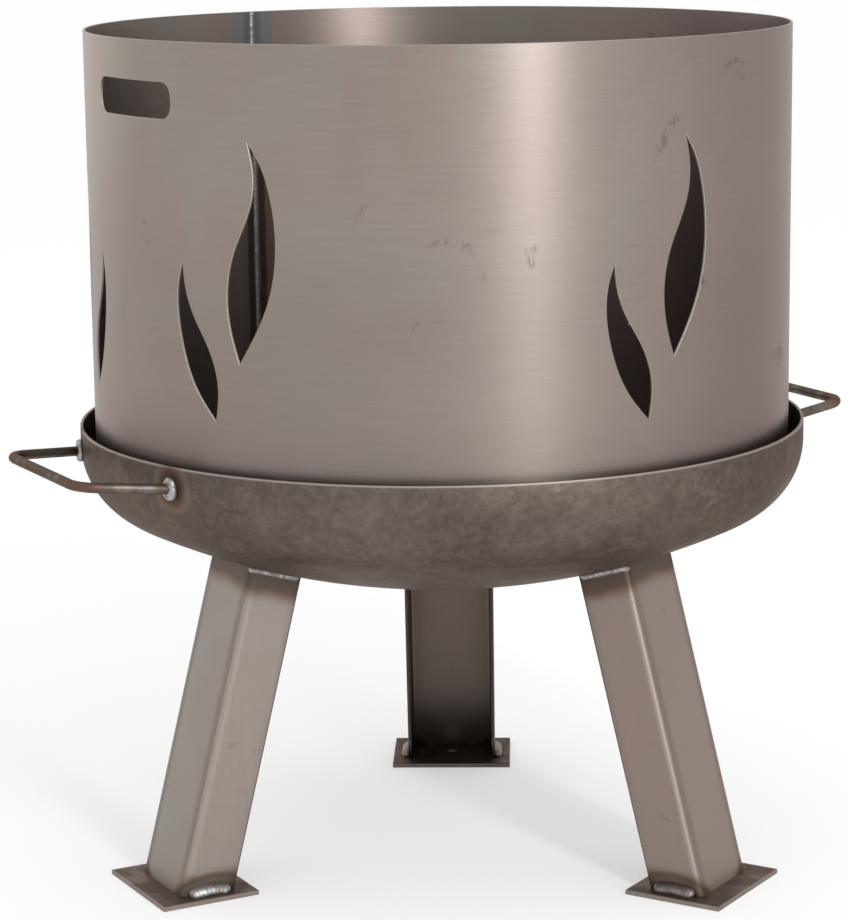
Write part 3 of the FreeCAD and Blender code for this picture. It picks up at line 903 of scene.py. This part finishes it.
def bowl_material():
    """Pressed plate with mill scale: dark, mottled, rubbed lighter at the rim."""
    material, tree, shader = new_material("mill_scale_plate", tint=(0.62, 0.57, 0.54, 1.0))
    scale, darker, darkest = ((0.148, 0.119, 0.104, 1), (0.128, 0.102, 0.089, 1),
                              (0.100, 0.077, 0.066, 1))
    worn, scratched, bare = ((0.23, 0.195, 0.175, 1), (0.070, 0.054, 0.046, 1),
                             (0.40, 0.355, 0.325, 1))
    where = object_place(tree)
    broad = use(tree, PATCHES, Vector=where, Scale=9.0, Cover=1.0)["Mask"]
    small = use(tree, PATCHES, Vector=where, Scale=34.0, Cover=0.7)["Mask"]
    wear = use(tree, SCUFFS, Vector=where, Scale=24.0, Cover=0.55)
    grain = use(tree, GRAIN, Vector=where, Stretch=(120.0, 120.0, 300.0))
    colour = paint(tree, broad, scale, darker)
    colour = coat(tree, colour, small, 0.3, darkest)
    mottle = noise(tree, where, 130.0, 4.0, 0.7, 0.4)
    colour = shaded(tree, colour, ramp(tree, mottle, 0.36, 0.66, 0.86, 1.12))
    colour = coat(tree, colour, wear["Mask"], 0.5, worn)
    colour = coat(tree, colour, wear["Scratch"], 0.45, scratched)
    colour = shaded(tree, colour, ramp(tree, grain["Speck"], 0.25, 0.75, 0.92, 1.08))
    rim = ramp(tree, split(tree, where)["Z"], RIM_Z - 0.0022, RIM_Z - 0.0004)
    colour = coat(tree, colour, rim, 0.85, bare)
    spots = []
    for turn in BAR_TURNS.values():
        ends = bar_corners(turn)
        spots += from_points(tree, where, (ends[0], ends[3]))
    colour = heated(tree, where, colour, nearest(tree, spots), 0.021, 0.85)
    lines = []
    for turn in LEG_TURNS.values():
        for side in (-1, 1):
            t = side * LEG_WEB / 2.0
            a = leg_point(turn, t, 0.0, leg_top(t, 0.0))
            b = leg_point(turn, t, LEG_FLANGE, leg_top(t, LEG_FLANGE))
            lines.append(use(tree, LINE, Vector=where, From=a, To=b)["Distance"])
    colour = heated(tree, where, colour, nearest(tree, lines), 0.020, 0.55)
    rough = ramp(tree, broad, 0.0, 1.0, 0.44, 0.54, False)
    rough = minus(tree, rough, times(tree, wear["Mask"], 0.10))
    pits = noise(tree, where, 520.0, 4.0, 0.65)
    dents = noise(tree, where, 16.0, 2.0, 0.5)
    dress(tree, shader, colour, rough, plus(tree, pits, times(tree, dents, 9.0)), 0.00010)
    return material


def leg_material():
    """Press-folded sheet, satin, with brown and straw heat bands at both ends."""
    material, tree, shader = new_material("folded_leg_sheet", tint=(0.90, 0.89, 0.88, 1.0))
    plain, rosy, right_tone, tan_tone = ((0.292, 0.264, 0.243, 1), (0.292, 0.240, 0.226, 1),
                                         (0.272, 0.200, 0.180, 1), (0.270, 0.218, 0.182, 1))
    dark_reflection_tone, rubbed_and_sheen_tone, inner_face_shade_tone, edge_tone = ((0.150, 0.112, 0.098, 1), (0.39, 0.36, 0.335, 1),
                                              (0.135, 0.102, 0.086, 1),
                                              (0.040, 0.031, 0.027, 1))
    arch_tone = (0.085, 0.060, 0.048, 1)
    where = object_place(tree)
    run = own_map(tree, "run")
    across = own_map(tree, "across")
    pink = use(tree, PATCHES, Vector=where, Scale=11.0, Cover=1.0)["Mask"]
    tan = use(tree, PATCHES, Vector=moved(tree, where, (1.3, 5.2, 2.2)), Scale=9.0,
              Cover=0.9)["Mask"]
    marks = use(tree, SCUFFS, Vector=where, Scale=52.0, Cover=0.30)["Mask"]
    grain = use(tree, GRAIN, Vector=where, Stretch=(260.0, 260.0, 40.0))
    right_leg = ramp(tree, split(tree, where)["X"], 0.02, 0.08)
    colour = coat(tree, plain, pink, 0.5, rosy)
    colour = coat(tree, colour, right_leg, 0.75, right_tone)
    colour = coat(tree, colour, tan, 0.28, tan_tone)
    shade = ramp(tree, grain["Streak"], 0.25, 0.75, 0.95, 1.05, False)
    colour = shaded(tree, colour, times(tree, shade, without(tree, marks, 0.24)))
    in_web = minus(tree, LEG_WEB / 2.0, math_of(tree, "ABSOLUTE", across["X"]))
    # painted light: the legs a touch lighter all over, and lighter on the flanges except on the
    # right front leg
    flange_painted_light = times(tree, ramp(tree, in_web, 0.0045, 0.0025), minus(tree, 1.0, right_leg))
    colour = shaded(tree, colour, plus(tree, 1.03, times(tree, flange_painted_light, 0.10)))
    # a painted dark reflection on the web beside each fold, and a painted highlight on the fold
    # itself
    fold_dark_reflection = times(tree, band(tree, in_web, 0.0025, 0.0045, 0.0085, 0.0135),
                    ramp(tree, across["Y"], 0.0025, 0.0015))
    colour = coat(tree, colour, fold_dark_reflection, 0.42, dark_reflection_tone)
    fold = times(tree, ramp(tree, in_web, 0.0034, 0.0016),
                 ramp(tree, across["Y"], 0.0050, 0.0030))
    colour = coat(tree, colour, fold, 0.28, rubbed_and_sheen_tone)
    # painted shade on the faces inside the channel
    inside = times(tree, ramp(tree, in_web, 0.0018, 0.0026),
                   ramp(tree, across["Y"], 0.0018, 0.0026))
    colour = coat(tree, colour, inside, 0.85, inner_face_shade_tone)
    lip = ramp(tree, across["Y"], LEG_FLANGE - 0.0014, LEG_FLANGE - 0.0006)
    colour = coat(tree, colour, lip, 0.85, edge_tone)
    top = plus(tree, run["Y"], times(tree, in_web, 0.10))
    colour = heated(tree, where, colour, top, 0.027, 0.85)
    foot = plus(tree, run["X"], times(tree, in_web, 0.9))
    colour = heated(tree, where, colour, foot, 0.022, 0.75)
    # a darker arch over the foot weld
    half = LEG_FLANGE / 2.0
    off = math_of(tree, "DIVIDE", minus(tree, across["Y"], half), half)
    arch = plus(tree, foot, times(tree, times(tree, off, off), 0.005))
    colour = coat(tree, colour, band(tree, arch, 0.0120, 0.0140, 0.0155, 0.0185), 0.5,
                  arch_tone)
    rough = ramp(tree, grain["Streak"], 0.3, 0.7, 0.40, 0.48, False)
    rough = plus(tree, rough, times(tree, marks, 0.10))
    dress(tree, shader, colour, rough, grain["Streak"], 0.00003)
    return material


def past_edge(tree, value, half):
    """A mask over the last millimetre before an edge, on both sides of the middle."""
    return ramp(tree, math_of(tree, "ABSOLUTE", value), half - 0.0014, half - 0.0004)


def pad_material():
    """Cut plate with dark scale, its edges lighter, browned round the welds."""
    material, tree, shader = new_material("scaled_cut_plate", tint=(0.70, 0.64, 0.60, 1.0))
    scale, darker, edge_tone = ((0.205, 0.169, 0.151, 1), (0.150, 0.119, 0.104, 1),
                                (0.300, 0.262, 0.238, 1))
    rubbed_and_sheen_tone, rear_shade_tone = (0.20, 0.16, 0.14, 1), (0.055, 0.040, 0.033, 1)
    where = object_place(tree)
    flat = own_map(tree, "flat")
    mottle = use(tree, PATCHES, Vector=where, Scale=45.0, Cover=1.0)["Mask"]
    marks = use(tree, SCUFFS, Vector=where, Scale=40.0, Cover=0.7)["Mask"]
    grain = use(tree, GRAIN, Vector=where, Stretch=(300.0, 300.0, 300.0))
    colour = paint(tree, mottle, scale, darker)
    edge = math_of(tree, "MAXIMUM", past_edge(tree, flat["X"], PAD_WIDE / 2.0),
                   past_edge(tree, flat["Y"], PAD_DEEP / 2.0))
    colour = coat(tree, colour, edge, 0.8, edge_tone)
    colour = coat(tree, colour, marks, 0.5, rubbed_and_sheen_tone)
    # painted shade on the rear foot pad, under the bowl and its leg
    rear = ramp(tree, split(tree, where)["Y"], 0.08, 0.14)
    colour = coat(tree, colour, rear, 0.6, rear_shade_tone)
    colour = shaded(tree, colour, ramp(tree, grain["Speck"], 0.25, 0.75, 0.9, 1.1))
    # distance from the two foot welds, which run along the channel's flanges
    half_run = 0.017
    out = minus(tree, math_of(tree, "ABSOLUTE", flat["X"]), LEG_WEB / 2.0 + WELD_OFF)
    past = math_of(tree, "MAXIMUM",
                   minus(tree, math_of(tree, "ABSOLUTE", flat["Y"]), half_run), 0.0)
    reach = plus(tree, math_of(tree, "ABSOLUTE", out), past)
    colour = heated(tree, where, colour, reach, 0.014, 0.35)
    rough = ramp(tree, mottle, 0.0, 1.0, 0.46, 0.56, False)
    dress(tree, shader, colour, rough, noise(tree, where, 420.0, 4.0, 0.65), 0.00012)
    return material


def bar_material():
    """Round bar: dull skin, reddened where it was heated and bent."""
    material, tree, shader = new_material("bent_round_bar", tint=(0.6, 0.53, 0.48, 1.0))
    dull, darker, rubbed_and_sheen_tone, red_tone = ((0.165, 0.142, 0.125, 1), (0.118, 0.098, 0.085, 1),
                                      (0.22, 0.19, 0.17, 1), (0.17, 0.078, 0.056, 1))
    where = object_place(tree)
    mottle = use(tree, PATCHES, Vector=where, Scale=60.0, Cover=1.0)["Mask"]
    marks = use(tree, SCUFFS, Vector=where, Scale=60.0, Cover=0.6)["Mask"]
    grain = use(tree, GRAIN, Vector=where, Stretch=(500.0, 500.0, 500.0))
    colour = paint(tree, mottle, dull, darker)
    colour = coat(tree, colour, marks, 0.45, rubbed_and_sheen_tone)
    bends, ends = [], []
    for turn in BAR_TURNS.values():
        spots = bar_corners(turn)
        bends += from_points(tree, where, spots[1:3])
        ends += from_points(tree, where, (spots[0], spots[3]))
    red = ramp(tree, nearest(tree, bends), 0.030, 0.010)
    colour = coat(tree, colour, red, 0.55, red_tone)
    colour = heated(tree, where, colour, nearest(tree, ends), 0.016, 0.35)
    colour = shaded(tree, colour, ramp(tree, grain["Speck"], 0.25, 0.75, 0.9, 1.1))
    rough = ramp(tree, mottle, 0.0, 1.0, 0.38, 0.48, False)
    dress(tree, shader, colour, rough, noise(tree, where, 600.0, 3.0, 0.6), 0.00006)
    return material


def weld_material():
    """Grey weld metal with brown oxide, duller at the right and rear feet."""
    material, tree, shader = new_material("weld_metal_skin")
    bright, filmed, oxide, low_weld_dark_tone = ((0.40, 0.40, 0.405, 1), (0.27, 0.245, 0.225, 1),
                                    (0.13, 0.085, 0.065, 1), (0.160, 0.132, 0.115, 1))
    where = object_place(tree)
    film = use(tree, PATCHES, Vector=where, Scale=150.0, Cover=0.8)["Mask"]
    marks = use(tree, SCUFFS, Vector=where, Scale=120.0, Cover=0.6)["Mask"]
    grain = use(tree, GRAIN, Vector=where, Stretch=(900.0, 900.0, 900.0))
    colour = paint(tree, film, bright, filmed)
    colour = coat(tree, colour, marks, 0.6, oxide)
    colour = shaded(tree, colour, ramp(tree, grain["Speck"], 0.25, 0.75, 0.9, 1.1))
    parts = split(tree, where)
    # the welds low on the right and rear feet painted darker
    low_weld_darkening = math_of(tree, "MAXIMUM", ramp(tree, parts["Y"], 0.10, 0.16),
                     ramp(tree, parts["X"], 0.08, 0.14, 0.0, 0.9))
    low_weld_darkening = times(tree, low_weld_darkening, ramp(tree, parts["Z"], 0.06, 0.03))
    colour = coat(tree, colour, low_weld_darkening, 0.8, low_weld_dark_tone)
    rough = ramp(tree, film, 0.0, 1.0, 0.44, 0.56, False)
    dress(tree, shader, colour, rough, noise(tree, where, 900.0, 3.0, 0.6), 0.00008)
    return material


# ---------------------------------------------------------------- studio
def make_camera():
    ahead = Vector((math.sin(CAMERA_YAW) * math.cos(CAMERA_PITCH),
                    math.cos(CAMERA_YAW) * math.cos(CAMERA_PITCH), -math.sin(CAMERA_PITCH)))
    right = Vector((math.cos(CAMERA_YAW), -math.sin(CAMERA_YAW), 0.0))
    up = right.cross(ahead)
    side = right * math.cos(CAMERA_ROLL) + up * math.sin(CAMERA_ROLL)
    top = up * math.cos(CAMERA_ROLL) - right * math.sin(CAMERA_ROLL)
    place = Matrix((side, top, -ahead)).transposed().to_4x4()
    place.translation = (0.0, -CAMERA_FAR, RIM_Z + CAMERA_OVER_RIM)
    data = bpy.data.cameras.new("studio_camera")
    data.sensor_fit = "VERTICAL"
    data.sensor_height = 36.0
    data.lens = CAMERA_LENS
    camera = bpy.data.objects.new("studio_camera", data)
    camera.matrix_world = Matrix.Rotation(math.radians(CAMERA_TURN), 4, "Z") @ place
    bpy.context.scene.collection.objects.link(camera)
    bpy.context.scene.camera = camera


def soft_box(name, turn, far, height, wide, tall, power, aim):
    """An area light at a turn and distance, turned to a height on the axis."""
    data = bpy.data.lights.new(name, "AREA")
    data.shape = "RECTANGLE"
    data.size = wide
    data.size_y = tall
    data.energy = power
    light = bpy.data.objects.new(name, data)
    spot = at(turn, far, 0.0, height)
    way = UP * aim - spot
    light.rotation_euler = way.to_track_quat("-Z", "Y").to_euler()
    light.location = spot
    bpy.context.scene.collection.objects.link(light)


def make_floor():
    bm = bmesh.new()
    bmesh.ops.create_grid(bm, x_segments=8, y_segments=8, size=60.0)
    mesh = bpy.data.meshes.new("studio_floor")
    bm.to_mesh(mesh)
    bm.free()
    material, tree, shader = new_material("pale_floor", 0.0)
    feed(tree, shader, {"Base Color": (0.56, 0.56, 0.557, 1.0),
                        "Emission Color": (1.0, 1.0, 1.0, 1.0),
                        "Emission Strength": 0.44, "Roughness": 0.9,
                        "Specular IOR Level": 0.1})
    mesh.materials.append(material)
    floor = bpy.data.objects.new("studio_floor", mesh)
    bpy.context.scene.collection.objects.link(floor)


def make_studio():
    make_camera()
    make_floor()
    for row in SOFT_BOXES:
        soft_box(*row)
    world = bpy.data.worlds.new("studio_world")
    world.use_nodes = True
    back = world.node_tree.nodes["Background"]
    back.inputs["Color"].default_value = (1.0, 1.0, 1.0, 1.0)
    back.inputs["Strength"].default_value = 0.95
    bpy.context.scene.world = world
    bpy.context.scene.view_settings.view_transform = "Standard"


# ---------------------------------------------------------------- build
make_studio()
make_bowl(bowl_material())
make_surround(surround_material())
weld = weld_material()
make_seam_bead(weld)
leg_skin = leg_material()
pad_skin = pad_material()
bar_skin = bar_material()
for leg_name, leg_turn in LEG_TURNS.items():
    make_leg(leg_name, leg_turn, leg_skin)
    make_pad(leg_name, leg_turn, pad_skin)
    make_leg_beads(leg_name, leg_turn, weld)
for bar_name, bar_turn in BAR_TURNS.items():
    make_handle(bar_name, bar_turn, bar_skin)
    make_bar_beads(bar_name, bar_turn, weld)
